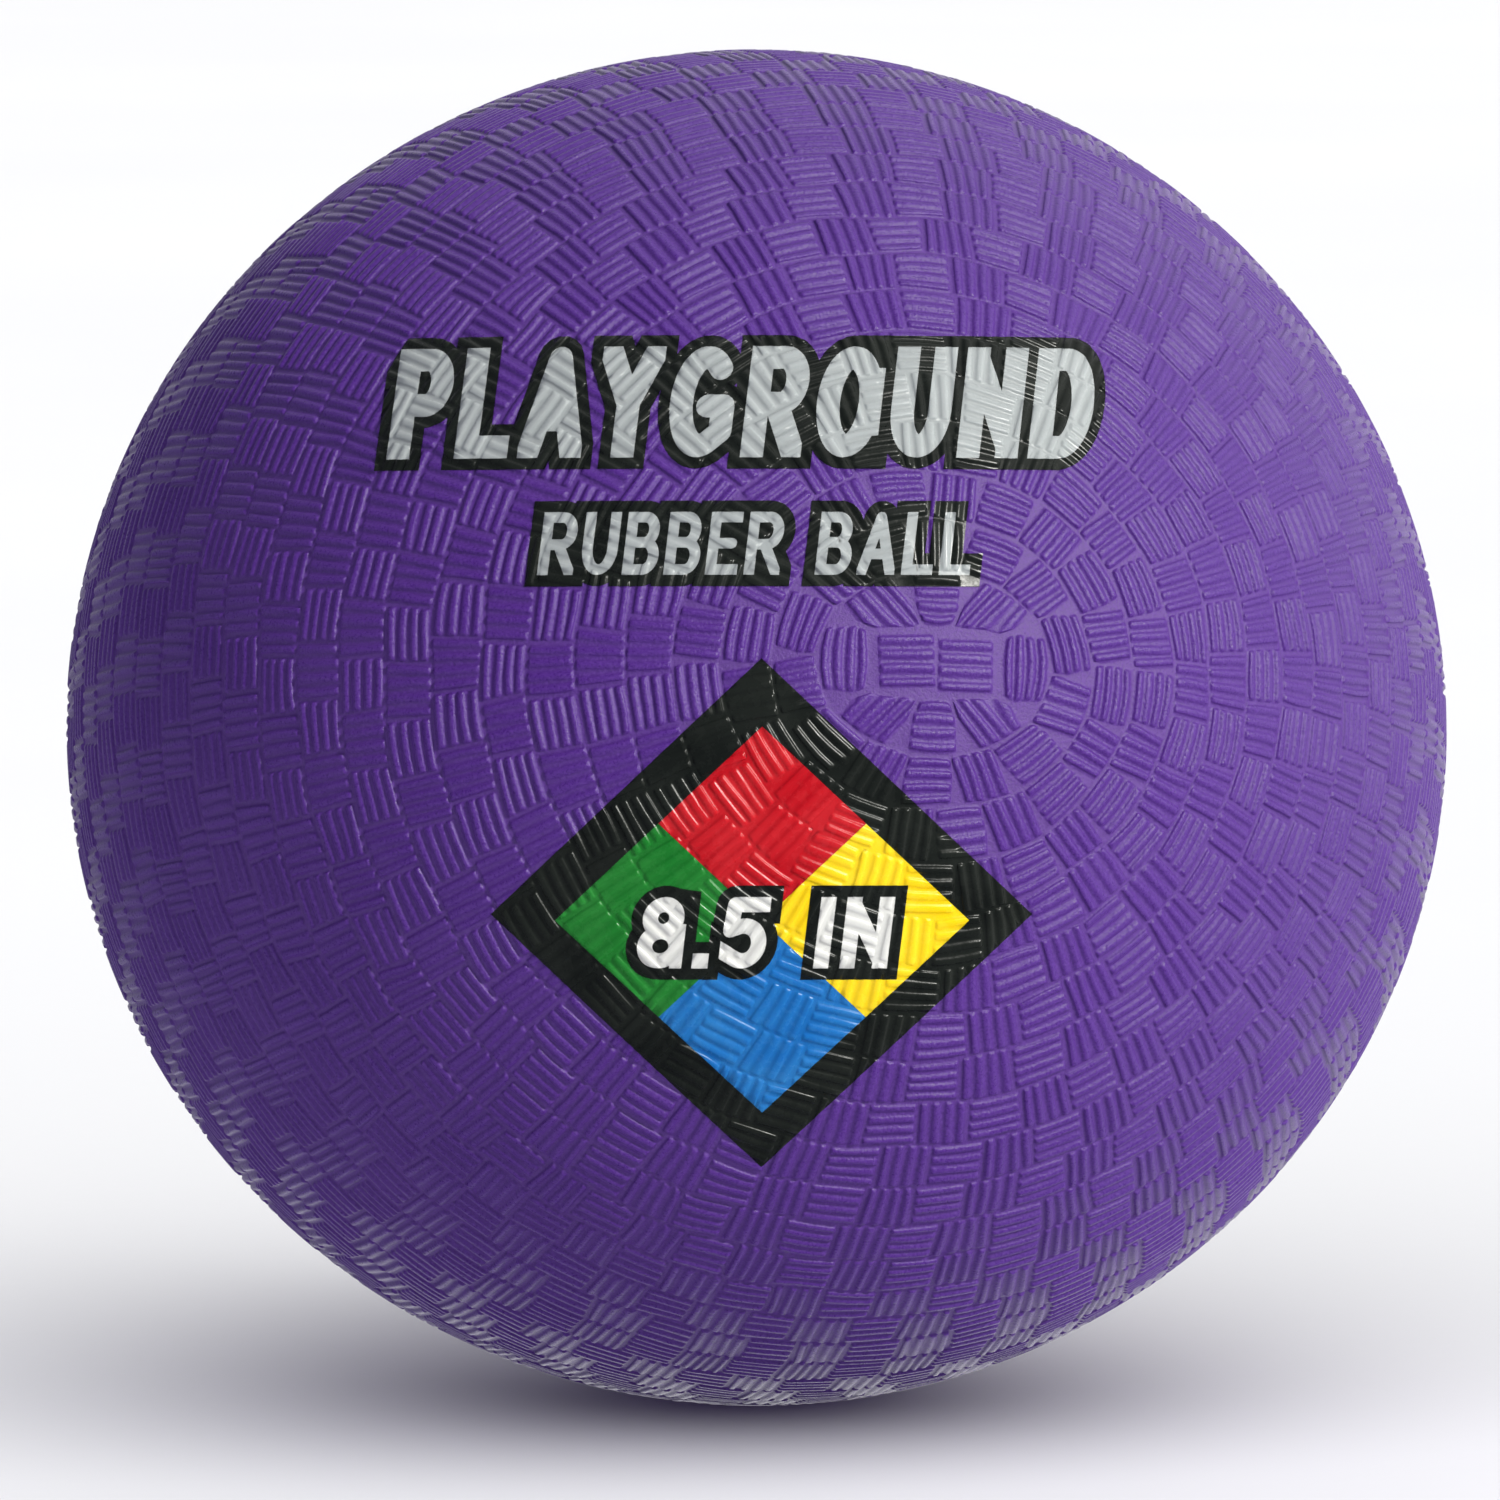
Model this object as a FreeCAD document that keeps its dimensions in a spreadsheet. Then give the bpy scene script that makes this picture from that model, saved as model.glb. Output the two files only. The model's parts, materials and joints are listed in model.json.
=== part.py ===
import FreeCAD, Part
import os
import Sketcher

from FreeCAD import Placement, Rotation, Vector

# A moulded playground ball, 8.5 inches across. Millimetres and degrees.
#
# The origin is the ball's centre and +Z is up. Three local frames share that centre:
# - the mould frame, whose +Z goes through the middle of the cover's front half,
# - the valve frame, whose +Z is the mould frame's -Z and leaves the ball through the valve,
# - the print frame, whose +Z goes through the printed side, with +Y up the print.

SIZES = {
    "ball_diameter": 215.9,
    # walls, from outside to inside; the cover's wall counts its ribs
    "cover_wall": 1.7,
    "winding_wall": 0.3,
    "bladder_wall": 0.8,
    # where the mould's axis and the middle of the print point: turned from -Y towards +X, then raised
    "mould_turn": 14.8,
    "mould_rise": 10.9,
    "print_rise": 6.0,
    # the reinforcing patch, between the winding and the cover
    "patch_diameter": 44.0,
    "patch_wall": 0.5,
    # the valve's housing, from the bladder's inside to the cover's outside
    "flange_diameter": 30.0,
    "flange_wall": 1.4,
    "boss_diameter": 13.0,
    "boss_length": 16.0,
    "neck_diameter": 9.0,
    "neck_recess": 0.3,
    # the plug pressed into the housing, and the blind hole that takes an inflating needle
    "plug_head_diameter": 6.6,
    "plug_head_length": 1.4,
    "plug_stem_diameter": 4.8,
    "plug_collar_diameter": 6.0,
    "plug_collar_length": 1.6,
    "plug_end_gap": 1.0,
    "needle_hole_diameter": 2.1,
    "needle_hole_length": 6.0,
    "needle_funnel": 0.6,
    # the ink, sunk flush into the cover
    "ink_wall": 0.1,
    # the diamond, as half diagonals, and the four-colour panel inside its border
    "diamond_half_width": 40.8,
    "diamond_half_height": 38.5,
    "diamond_centre_x": 0.7,
    "diamond_centre_y": -28.3,
    "panel_half_width": 31.2,
    "panel_half_height": 29.2,
    "panel_centre_x": 0.8,
    "panel_centre_y": -29.2,
    # the bands that hold the lettering
    "number_width": 39.0,
    "number_height": 10.8,
    "number_centre_x": 1.2,
    "number_centre_y": -31.0,
    "title_width": 108.0,
    "title_height": 17.0,
    "title_centre_x": -2.0,
    "title_centre_y": 49.0,
    "subtitle_width": 66.0,
    "subtitle_height": 9.5,
    "subtitle_centre_x": 0.0,
    "subtitle_centre_y": 27.5,
    "letter_outline": 1.7,
}

# How far a cutting tool runs past what it cuts.
CLEAR = 2.0

doc = FreeCAD.newDocument("playground_ball")
sheet = doc.addObject("Spreadsheet::Sheet", "Sizes")
for row, (alias, value) in enumerate(SIZES.items(), start=1):
    sheet.set(f"A{row}", alias.replace("_", " "))
    sheet.set(f"B{row}", str(value))
    sheet.setAlias(f"B{row}", alias)
doc.recompute()


def size(alias):
    """A driving dimension's value."""
    return float(sheet.get(alias))


def bind(item, **expressions):
    """Bind an object's properties to expressions of the sheet's cells."""
    for name, expression in expressions.items():
        item.setExpression(name, expression)
    return item


OUTER = "Sizes.ball_diameter / 2"
COVER_INNER = f"{OUTER} - Sizes.cover_wall"
WINDING_INNER = f"{COVER_INNER} - Sizes.winding_wall"
BLADDER_INNER = f"{WINDING_INNER} - Sizes.bladder_wall"
PATCH_OUTER = f"{COVER_INNER} + Sizes.patch_wall"
INK_INNER = f"{OUTER} - Sizes.ink_wall"
NECK_END = f"{OUTER} - Sizes.neck_recess"
BOSS_START = f"{BLADDER_INNER} - Sizes.boss_length"

mould_turn = Rotation(Vector(0, 0, 1), size("mould_turn"))
mould_frame = mould_turn * Rotation(Vector(1, 0, 0), 90 - size("mould_rise"))
valve_frame = mould_frame * Rotation(Vector(1, 0, 0), 180)
print_frame = Rotation(Vector(1, 0, 0), 90 - size("print_rise"))


def ball(name, radius, low=-90):
    """A solid ball, or the part of it above a latitude."""
    item = doc.addObject("Part::Sphere", name)
    item.Angle1 = low
    return bind(item, Radius=radius)


def cylinder(name, diameter, start, height):
    """A cylinder along the local Z axis, from start."""
    item = doc.addObject("Part::Cylinder", name)
    return bind(item, Radius=f"({diameter}) / 2", Height=height, **{"Placement.Base.z": start})


def cut(name, base, tool):
    item = doc.addObject("Part::Cut", name)
    item.Base, item.Tool = base, tool
    return item


def common(name, base, tool):
    item = doc.addObject("Part::Common", name)
    item.Base, item.Tool = base, tool
    return item


def fuse(name, pieces):
    item = doc.addObject("Part::MultiFuse", name)
    item.Shapes = pieces
    return item


nodes = []


def keep(item, label, rotation=Rotation(), base=Vector()):
    """Name a finished sub-part and put it in its place."""
    item.Label = label
    item.Placement = Placement(base, rotation)
    nodes.append(item)
    return item


# ---- the airtight bladder and the nylon thread wound over it, each with a hole for the valve's neck

def pierced_shell(name, outer, inner):
    """A hollow ball with the neck's hole on the local +Z axis."""
    wall = cut(f"{name}_wall", ball(f"{name}_outside", outer), ball(f"{name}_inside", inner))
    hole = cylinder(f"{name}_hole", "Sizes.neck_diameter", "0", f"{OUTER} + {CLEAR}")
    return cut(name, wall, hole)


keep(pierced_shell("Bladder", WINDING_INNER, BLADDER_INNER), "butyl_bladder", valve_frame)
keep(pierced_shell("Winding", COVER_INNER, WINDING_INNER), "nylon_winding", valve_frame)


# ---- the reinforcing patch, a curved disc round the neck

def patch_shape(name):
    """The disc with everything inside it, which is also what it takes out of the cover."""
    round_piece = cylinder(f"{name}_round", "Sizes.patch_diameter", "0", f"{OUTER} + {CLEAR}")
    return common(name, ball(f"{name}_outside", PATCH_OUTER), round_piece)


patch_wall = cut("PatchWall", patch_shape("PatchDisc"), ball("PatchInside", COVER_INNER))
patch_hole = cylinder("PatchHole", "Sizes.neck_diameter", "0", f"{OUTER} + {CLEAR}")
keep(cut("Patch", patch_wall, patch_hole), "valve_patch", valve_frame)


# ---- the valve's housing: a flange on the bladder's inside, a boss inwards and a neck outwards

def housing():
    flange_disc = common(
        "FlangeDisc",
        ball("FlangeOutside", BLADDER_INNER),
        cylinder("FlangeRound", "Sizes.flange_diameter", "0", f"{OUTER} + {CLEAR}"),
    )
    flange = cut("Flange", flange_disc, ball("FlangeInside", f"{BLADDER_INNER} - Sizes.flange_wall"))
    boss = cylinder("Boss", "Sizes.boss_diameter", BOSS_START, "Sizes.boss_length - Sizes.flange_wall / 2")
    neck = common(
        "Neck",
        ball("NeckEnd", NECK_END),
        cylinder("NeckRound", "Sizes.neck_diameter", f"{BLADDER_INNER} - Sizes.flange_wall", "20"),
    )
    body = fuse("HousingBody", [flange, boss, neck])
    hollow = fuse(
        "HousingHollow",
        [
            cylinder("HeadSeat", "Sizes.plug_head_diameter", f"{NECK_END} - Sizes.plug_head_length", "20"),
            cylinder("StemHole", "Sizes.plug_stem_diameter", f"{BOSS_START} - {CLEAR}", "40"),
            cylinder("CollarSeat", "Sizes.plug_collar_diameter", f"{BOSS_START} - {CLEAR}",
                     f"{CLEAR} + Sizes.plug_end_gap + Sizes.plug_collar_length"),
        ],
    )
    return cut("Housing", body, hollow)


keep(housing(), "valve_housing", valve_frame)


# ---- the plug: its outer face is the body's XY plane, and it is made downwards from there

def origin_plane(body, role):
    return next(plane for plane in body.Origin.OriginFeatures if plane.Role == role)


def circle_sketch(body, name, diameter, depth):
    """A circle on the body's Z axis, a depth below its XY plane."""
    sketch = body.newObject("Sketcher::SketchObject", name)
    sketch.AttachmentSupport = [(origin_plane(body, "XY_Plane"), "")]
    sketch.MapMode = "FlatFace"
    sketch.setExpression("AttachmentOffset.Base.z", f"-({depth})")
    sketch.addGeometry(Part.Circle(Vector(), Vector(0, 0, 1), 1.0), False)
    sketch.addConstraint(Sketcher.Constraint("Coincident", 0, 3, -1, 1))
    sketch.addConstraint(Sketcher.Constraint("Diameter", 0, 2.0))
    sketch.renameConstraint(1, "across")
    sketch.setExpression("Constraints.across", diameter)
    return sketch


def pad_down(body, name, diameter, depth, length):
    """Add a round piece that goes inwards from a depth."""
    pad = body.newObject("PartDesign::Pad", name)
    pad.Profile = circle_sketch(body, f"{name}Sketch", diameter, depth)
    pad.Reversed = True
    pad.setExpression("Length", length)
    doc.recompute()


def plug():
    body = doc.addObject("PartDesign::Body", "Plug")
    whole_length = f"{NECK_END} - ({BOSS_START}) - Sizes.plug_end_gap"
    pad_down(body, "Head", "Sizes.plug_head_diameter", "0", "Sizes.plug_head_length")
    pad_down(body, "Stem", "Sizes.plug_stem_diameter", "0", whole_length)
    pad_down(body, "Collar", "Sizes.plug_collar_diameter",
             f"{whole_length} - Sizes.plug_collar_length", "Sizes.plug_collar_length")
    solid_volume = body.Shape.Volume

    hole = body.newObject("PartDesign::Pocket", "NeedleHole")
    hole.Profile = circle_sketch(body, "NeedleHoleSketch", "Sizes.needle_hole_diameter", "0")
    hole.setExpression("Length", "Sizes.needle_hole_length")
    doc.recompute()
    rim = next(
        f"Edge{number}"
        for number, edge in enumerate(hole.Shape.Edges, start=1)
        if isinstance(edge.Curve, Part.Circle)
        and abs(edge.Curve.Radius - size("needle_hole_diameter") / 2) < 1e-6
        and abs(edge.CenterOfMass.z) < 1e-6
    )
    funnel = body.newObject("PartDesign::Chamfer", "NeedleFunnel")
    funnel.Base = (hole, [rim])
    funnel.setExpression("Size", "Sizes.needle_funnel")
    doc.recompute()
    if body.Shape.Volume >= solid_volume:
        raise RuntimeError("the needle's hole took nothing out of the plug")
    return body


# ---- the print: ink sunk flush into the front half, each shape cut from it straight along the print's Z axis

def rhombus(name, half_width, half_height, centre):
    """A rhombus with its corners on the axes, drawn on XY and padded past the ball's surface."""
    body = doc.addObject("PartDesign::Body", name)
    sketch = body.newObject("Sketcher::SketchObject", f"{name}Sketch")
    sketch.AttachmentSupport = [(origin_plane(body, "XY_Plane"), "")]
    sketch.MapMode = "FlatFace"
    corners = [Vector(10, 0), Vector(0, 10), Vector(-10, 0), Vector(0, -10)]
    for start, end in zip(corners, corners[1:] + corners[:1]):
        sketch.addGeometry(Part.LineSegment(start, end), False)
    for side in range(4):
        sketch.addConstraint(Sketcher.Constraint("Coincident", side, 2, (side + 1) % 4, 1))
    for side, axis in enumerate((-1, -2, -1, -2)):
        sketch.addConstraint(Sketcher.Constraint("PointOnObject", side, 1, axis))
    for side, (kind, across) in enumerate((("DistanceX", half_width), ("DistanceY", half_height)) * 2):
        points = (-1, 1, side, 1) if side < 2 else (side, 1, -1, 1)
        number = sketch.addConstraint(Sketcher.Constraint(kind, *points, 10.0))
        sketch.renameConstraint(number, f"reach_{side}")
        sketch.setExpression(f"Constraints.reach_{side}", across)
    pad = body.newObject("PartDesign::Pad", f"{name}Pad")
    pad.Profile = sketch
    pad.setExpression("Length", f"{OUTER} + {CLEAR}")
    body.Placement = Placement(centre, Rotation())
    return body


def band(name, label, grow="0"):
    """A rectangle round one of the lettering's bands, grown by an outline, padded past the surface."""
    item = doc.addObject("Part::Box", name)
    bind(
        item,
        Length=f"Sizes.{label}_width + 2 * ({grow})",
        Width=f"Sizes.{label}_height + 2 * ({grow})",
        Height=f"{OUTER} + {CLEAR}",
    )
    item.setExpression("Placement.Base.x", f"Sizes.{label}_centre_x - Sizes.{label}_width / 2 - ({grow})")
    item.setExpression("Placement.Base.y", f"Sizes.{label}_centre_y - Sizes.{label}_height / 2 - ({grow})")
    return item


def turned_ball(name, radius):
    """A ball whose poles and seam lie away from the print."""
    item = ball(name, radius)
    item.Placement = Placement(Vector(), Rotation(Vector(0, 1, 0), 90))
    return item


def ink(name, prism):
    """The film of ink inside a prism."""
    film = cut(f"{name}Film", turned_ball(f"{name}Outside", OUTER), turned_ball(f"{name}Inside", INK_INNER))
    return common(name, film, prism)


def print_films():
    diamond_centre = Vector(size("diamond_centre_x"), size("diamond_centre_y"), 0)
    panel_centre = Vector(size("panel_centre_x"), size("panel_centre_y"), 0)

    border = cut(
        "BorderPrism",
        rhombus("Diamond", "Sizes.diamond_half_width", "Sizes.diamond_half_height", diamond_centre),
        rhombus("Panel", "Sizes.panel_half_width", "Sizes.panel_half_height", panel_centre),
    )
    keep(ink("Border", border), "diamond_border_print", print_frame)

    # The four colours are quarters of the panel: rhombi of half its size, above, right, below and left.
    step_x, step_y = size("panel_half_width") / 2, size("panel_half_height") / 2
    quarters = {"red": (0, 1), "yellow": (1, 0), "blue": (0, -1), "green": (-1, 0)}
    for colour, (right, up) in quarters.items():
        centre = panel_centre + Vector(right * step_x, up * step_y, 0)
        name = colour.capitalize()
        quarter = rhombus(name, "Sizes.panel_half_width / 2", "Sizes.panel_half_height / 2", centre)
        number_gap = band(f"{name}Gap", "number", "Sizes.letter_outline")
        prism = cut(f"{name}Prism", quarter, number_gap)
        keep(ink(f"{name}Ink", prism), f"{colour}_panel_print", print_frame)

    for label in ("number", "title", "subtitle"):
        name = label.capitalize()
        around = band(f"{name}Around", label, "Sizes.letter_outline")
        ring = cut(f"{name}Ring", around, band(f"{name}Hole", label))
        keep(ink(f"{name}OutlineInk", ring), f"{label}_outline_print", print_frame)
        keep(ink(f"{name}Ink", band(f"{name}Band", label)), f"{label}_print", print_frame)

    # What the ink takes out of the cover.
    footprint = fuse(
        "PrintFootprint",
        [
            rhombus("DiamondSeat", "Sizes.diamond_half_width", "Sizes.diamond_half_height", diamond_centre),
            band("TitleSeat", "title", "Sizes.letter_outline"),
            band("SubtitleSeat", "subtitle", "Sizes.letter_outline"),
        ],
    )
    seat = cut("PrintSeat", footprint, turned_ball("PrintSeatInside", INK_INNER))
    seat.Placement = Placement(Vector(), print_frame)
    return seat


# ---- the cover: two moulded halves that meet at the mould's parting line

def cover_half(name):
    """The half of the cover above its local XY plane."""
    return cut(f"{name}Wall", ball(f"{name}Outside", OUTER, low=0), ball(f"{name}Inside", COVER_INNER))


front_wall = cover_half("Front")
front_wall.Placement = Placement(Vector(), mould_frame)
keep(cut("FrontCover", front_wall, print_films()), "cover_front_half")

back_opening = fuse(
    "BackOpening",
    [patch_shape("PatchSeat"), cylinder("NeckHole", "Sizes.neck_diameter", "0", f"{OUTER} + {CLEAR}")],
)
keep(cut("BackCover", cover_half("Back"), back_opening), "cover_back_half", valve_frame)

plug_base = valve_frame.multVec(Vector(0, 0, size("ball_diameter") / 2 - size("neck_recess")))
keep(plug(), "valve_plug", valve_frame, plug_base)


def check_and_write():
    """Stop on any failed object or shape, then write each sub-part's file."""
    doc.recompute()
    for item in doc.Objects:
        if "Invalid" in item.State or "Error" in item.State:
            raise RuntimeError(f"{item.Label} failed: {item.State}")
    for item in nodes:
        if item.Shape.isNull() or not item.Shape.isValid() or not item.Shape.Solids:
            raise RuntimeError(f"{item.Label} has no valid solid")
    os.makedirs("parts", exist_ok=True)
    for item in nodes:
        item.Shape.exportStep(os.path.join("parts", f"{item.Label}.step"))
        print(item.Label, len(item.Shape.Solids), round(item.Shape.Volume, 1))


check_and_write()
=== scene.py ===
"""A playground rubber ball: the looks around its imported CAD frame, in metres from the ball's centre."""

import json
import math

import bmesh
import bpy
import numpy as np
from mathutils import Matrix, Vector
from mathutils.geometry import delaunay_2d_cdt


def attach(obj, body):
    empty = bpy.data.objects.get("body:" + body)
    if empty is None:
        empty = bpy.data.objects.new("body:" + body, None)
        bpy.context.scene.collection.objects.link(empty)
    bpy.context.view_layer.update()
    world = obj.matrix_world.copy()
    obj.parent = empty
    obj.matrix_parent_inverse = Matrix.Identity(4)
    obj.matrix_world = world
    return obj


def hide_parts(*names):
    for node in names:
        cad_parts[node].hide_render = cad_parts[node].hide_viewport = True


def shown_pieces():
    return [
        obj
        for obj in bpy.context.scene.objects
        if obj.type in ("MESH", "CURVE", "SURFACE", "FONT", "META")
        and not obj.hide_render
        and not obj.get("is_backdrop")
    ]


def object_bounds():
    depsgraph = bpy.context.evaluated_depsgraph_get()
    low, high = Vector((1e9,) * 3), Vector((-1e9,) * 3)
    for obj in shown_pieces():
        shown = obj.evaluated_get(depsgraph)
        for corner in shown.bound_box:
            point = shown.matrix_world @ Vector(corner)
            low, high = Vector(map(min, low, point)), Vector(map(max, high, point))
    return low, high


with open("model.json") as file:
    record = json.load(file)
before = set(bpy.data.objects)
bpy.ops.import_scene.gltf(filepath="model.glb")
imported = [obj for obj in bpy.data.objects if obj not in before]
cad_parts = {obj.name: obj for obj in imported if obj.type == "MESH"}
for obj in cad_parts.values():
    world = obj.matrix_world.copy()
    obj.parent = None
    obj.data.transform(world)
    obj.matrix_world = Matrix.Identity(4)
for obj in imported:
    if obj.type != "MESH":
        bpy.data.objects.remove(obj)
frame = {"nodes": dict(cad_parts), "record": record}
cad_low, cad_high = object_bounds()

MM = 0.001
SEED = 7
HALF_SEEDS = {"front": SEED + 1, "back": SEED + 100}

# ---------------- the ball's sizes and directions

BALL_RADIUS = (cad_high.z - cad_low.z) / 2
RIB_HEIGHT = 0.45 * MM
BASE_RADIUS = BALL_RADIUS - RIB_HEIGHT  # the rubber between the ribs
COVER_WALL = 1.7 * MM  # with the ribs
WINDING_WALL = 0.3 * MM
BLADDER_WALL = 0.8 * MM
NECK_RADIUS = 4.5 * MM  # of the valve's hole through every layer

# The mould's axis leaves the ball through its valve, so the record's needle hole gives it.
needle_hole = next(m for m in frame["record"]["mounts"] if m["name"] == "needle_hole")
VALVE_AXIS = np.array(needle_hole["axis"]) / np.linalg.norm(needle_hole["axis"])
PRINT_RISE = math.radians(6)  # the printed side looks along -Y and this much up
PRINT_RIGHT = np.array([1.0, 0.0, 0.0])
PRINT_UP = np.array([0.0, math.sin(PRINT_RISE), math.cos(PRINT_RISE)])
PRINT_OUT = np.array([0.0, -math.cos(PRINT_RISE), math.sin(PRINT_RISE)])

# The pumped-up ball is wider than high, with low lumps: shares of the radius.
OVAL = 0.0088
LUMP_HEIGHT = 0.0006
LUMPS = 5
LUMP_WAVES = 3.5  # radians of each lump's wave across a radius
lump_rng = np.random.default_rng(SEED)
lump_axes = lump_rng.normal(size=(LUMPS, 3))
lump_axes /= np.linalg.norm(lump_axes, axis=1)[:, None]
lump_phases = lump_rng.uniform(0, 2 * math.pi, LUMPS)


def swell(directions):
    """How far the real surface stands out from a perfect ball, as a factor, for unit directions."""
    oval = OVAL * ((directions @ PRINT_RIGHT) ** 2 - (directions @ PRINT_UP) ** 2)
    lumps = np.cos(LUMP_WAVES * directions @ lump_axes.T + lump_phases).sum(axis=-1)
    return 1 + oval + LUMP_HEIGHT * lumps


def mould_basis(axis):
    """Right-handed (across, up, axis) unit vectors of a mould half, from its axis."""
    across = PRINT_RIGHT - axis * (PRINT_RIGHT @ axis)
    across /= np.linalg.norm(across)
    return np.array([across, np.cross(axis, across), axis])


# ---------------- small mesh tools

SHARP_ANGLE = math.radians(75)


def smooth(mesh):
    """Smooth shading apart from the edges of the pieces' walls."""
    mesh.shade_smooth()
    mesh.set_sharp_from_angle(angle=SHARP_ANGLE)


def mesh_object(name, points, faces, relief=None):
    """A new smooth-shaded mesh object from arrays. relief, if given, is stored for the material to read."""
    mesh = bpy.data.meshes.new(name)
    points = np.asarray(points, dtype=np.float32)
    faces = np.asarray(faces, dtype=np.int32)
    mesh.vertices.add(len(points))
    mesh.vertices.foreach_set("co", points.ravel())
    mesh.loops.add(faces.size)
    mesh.loops.foreach_set("vertex_index", faces.ravel())
    mesh.polygons.add(len(faces))
    mesh.polygons.foreach_set("loop_start", np.arange(len(faces), dtype=np.int32) * faces.shape[1])
    mesh.update(calc_edges=True)
    if relief is not None:
        values = mesh.attributes.new("relief", "FLOAT", "POINT").data
        values.foreach_set("value", np.asarray(relief, np.float32))
    smooth(mesh)
    piece = bpy.data.objects.new(name, mesh)
    bpy.context.scene.collection.objects.link(piece)
    return piece


def zip_strip(inner, outer, inner_at, outer_at):
    """Triangles between two rows of points, each with its place along the strip. outer lies after inner."""
    i = j = 0
    triangles = []
    while i < len(inner) - 1 or j < len(outer) - 1:
        step_outer = i == len(inner) - 1 or (
            j < len(outer) - 1 and outer_at[j] + outer_at[j + 1] <= inner_at[i] + inner_at[i + 1]
        )
        if step_outer:
            triangles.append((inner[i], outer[j], outer[j + 1]))
            j += 1
        else:
            triangles.append((inner[i], outer[j], inner[i + 1]))
            i += 1
    return triangles


def zip_loops(inner, outer, inner_at, outer_at):
    """The same between two closed loops whose places are angles that grow all the way round."""
    full = 2 * math.pi
    inner_at, outer_at = np.asarray(inner_at), np.asarray(outer_at)
    start = int(np.argmin(np.abs((outer_at - inner_at[0] + math.pi) % full - math.pi)))
    turn = round((outer_at[start] - inner_at[0]) / full) * full
    outer_at = np.concatenate([outer_at[start:] - turn, outer_at[:start + 1] + full - turn])
    outer = list(outer[start:]) + list(outer[:start + 1])
    return zip_strip(list(inner) + [inner[0]], outer, np.append(inner_at, inner_at[0] + full), outer_at)


# ---------------- the moulded basket weave

# One half of the mould: rings of nearly square patches round its axis, each patch a few parallel ribs.
RING_STEP = math.radians(90 / 20.5)
RINGS = 21  # ring 0 is the middle, and ring 20 ends at the parting line
PATCH_WIDTH = math.radians(4.47)  # about this, as a ring has an even number of patches
PATCH_GAP = 0.14 * MM
WIDEST_HALF = 4.25 * MM
USUAL_RIBS = 4
FIVE_RIBS_CHANCE = 0.12  # of a ring whose patches have one more rib
GROOVE = 0.06  # of a rib's height, between the ribs of one patch
JOINT_HEIGHT = 0.6 * GROOVE  # the same, between patches
LOWEST_RIBS = 0.8  # height of the ribs where the mould's halves meet, so that they leave it
LOWER_FROM = 60  # degrees from the axis, where the ribs start to get lower
FLASH_WIDTH = 0.3 * MM  # of the raised line where the halves meet, on each half

# How far the borders between rings wander: three waves, with so many turns for each patch of the ring.
WOBBLE = 0.3 * MM
WAVES = (0.19, 0.31, 0.47)
WAVES_REACH = 1.6  # how far the three usually reach together, each reaching 1
ANY_PHASE = (0, 6.28)
BORDER_SHIFT, BORDER_LEAN = 0.22 * MM, 0.16 * MM  # the same for the borders between one ring's patches

# Nearest the axis, patches keep straight ribs and leave bare corners.
STRAIGHT_RINGS = 4
STRAIGHT_SPREAD = 0.4  # how much of the shift and lean their borders keep
WIDTH_AT = -0.45  # the share of the half height where a patch is measured for its width
LATEST_START = 0.3  # the same for where its shortest rib starts

# A rib's cross-section in pitches from its middle, with the height there.
RIB_ACROSS = np.array([-0.38, -0.28, -0.16, 0.0, 0.16, 0.28, 0.38])
RIB_PROFILE = np.array([GROOVE, 0.5, 0.93, 1.0, 0.93, 0.5, GROOVE])
OUTER_SIDE = np.array([0.72, 0.84])  # a patch's outermost ribs are steeper on the outside

# A rib's end: places as shares of the patch's half length, with the height and width there.
RIB_ENDS = np.array([0.985, 0.95, 0.905, 0.83])
END_PROFILE = np.array([GROOVE, 0.45, 0.88, 1.0])
END_WIDTH = np.array([0.62, 0.82, 0.96, 1.0])
RIB_MIDDLE = np.array([0.3])
ALONG = np.concatenate([[-1], -RIB_ENDS, -RIB_MIDDLE, RIB_MIDDLE, RIB_ENDS[::-1], [1]])
ALONG_HEIGHT = np.concatenate([[0], END_PROFILE, [1, 1], END_PROFILE[::-1], [0]])
ALONG_WIDTH = np.concatenate([END_WIDTH[:1], END_WIDTH, [1, 1], END_WIDTH[::-1], END_WIDTH[:1]])

# How much ribs differ, as standard deviations: in pitches, or as shares of a rib's own size.
RIB_SHIFT, RIB_SWAY, RIB_LEAN = 0.03, 0.03, 0.012
SWAY_BEND = 2.6  # radians of the sway's wave in half a rib
RIB_WIDER, RIB_HIGHER, RIB_SHORTER = 0.05, 0.08, 0.014
HEIGHT_LIMITS = (0.82, 1.15)
PATCH_LIMIT = 0.995  # how near a patch's edge its ribs may come

# The borders outside the first rings, moved out and made oval to go round whatever is in the middle, in mm.
OUTWARD = {"front": [3.9, 3.5, 3.0, 2.5, 2.0, 1.5, 1.0, 0.5], "back": []}
LONGER = {"front": [2.6, 2.1, 1.6, 1.2, 0.85, 0.5, 0.25, 0.1], "back": []}
MIDDLE_RINGS = {"front": 0, "back": 1}  # the last ring that the middle takes the place of

# The front half's middle is a pair of patches: place, half width, half length (mm) and turn (degrees).
POLE_PATCHES = [(-4.6, 0.25, 4.25, 4.45, 92), (4.6, -0.25, 4.25, 4.45, 89)]
POLE_OUTLINE = (10.2, 5.2, 6)  # half length and half width (mm) and squareness of the room that they have

# The back half's middle is a smooth disc round the valve's hole, as (radius, height in ribs).
HOLE_RIM = 0.4  # height in ribs
DISC_PROFILE = [
    (4.8 * MM, 0.85), (5.3 * MM, 1.0), (8.5 * MM, 1.0), (11.2 * MM, 1.0), (11.5 * MM, 0.8), (11.9 * MM, 0.0),
]
PATCH_RADIUS = 22.1 * MM  # of the recess inside the cover for the valve's patch
PATCH_WALL = 0.5 * MM

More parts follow.
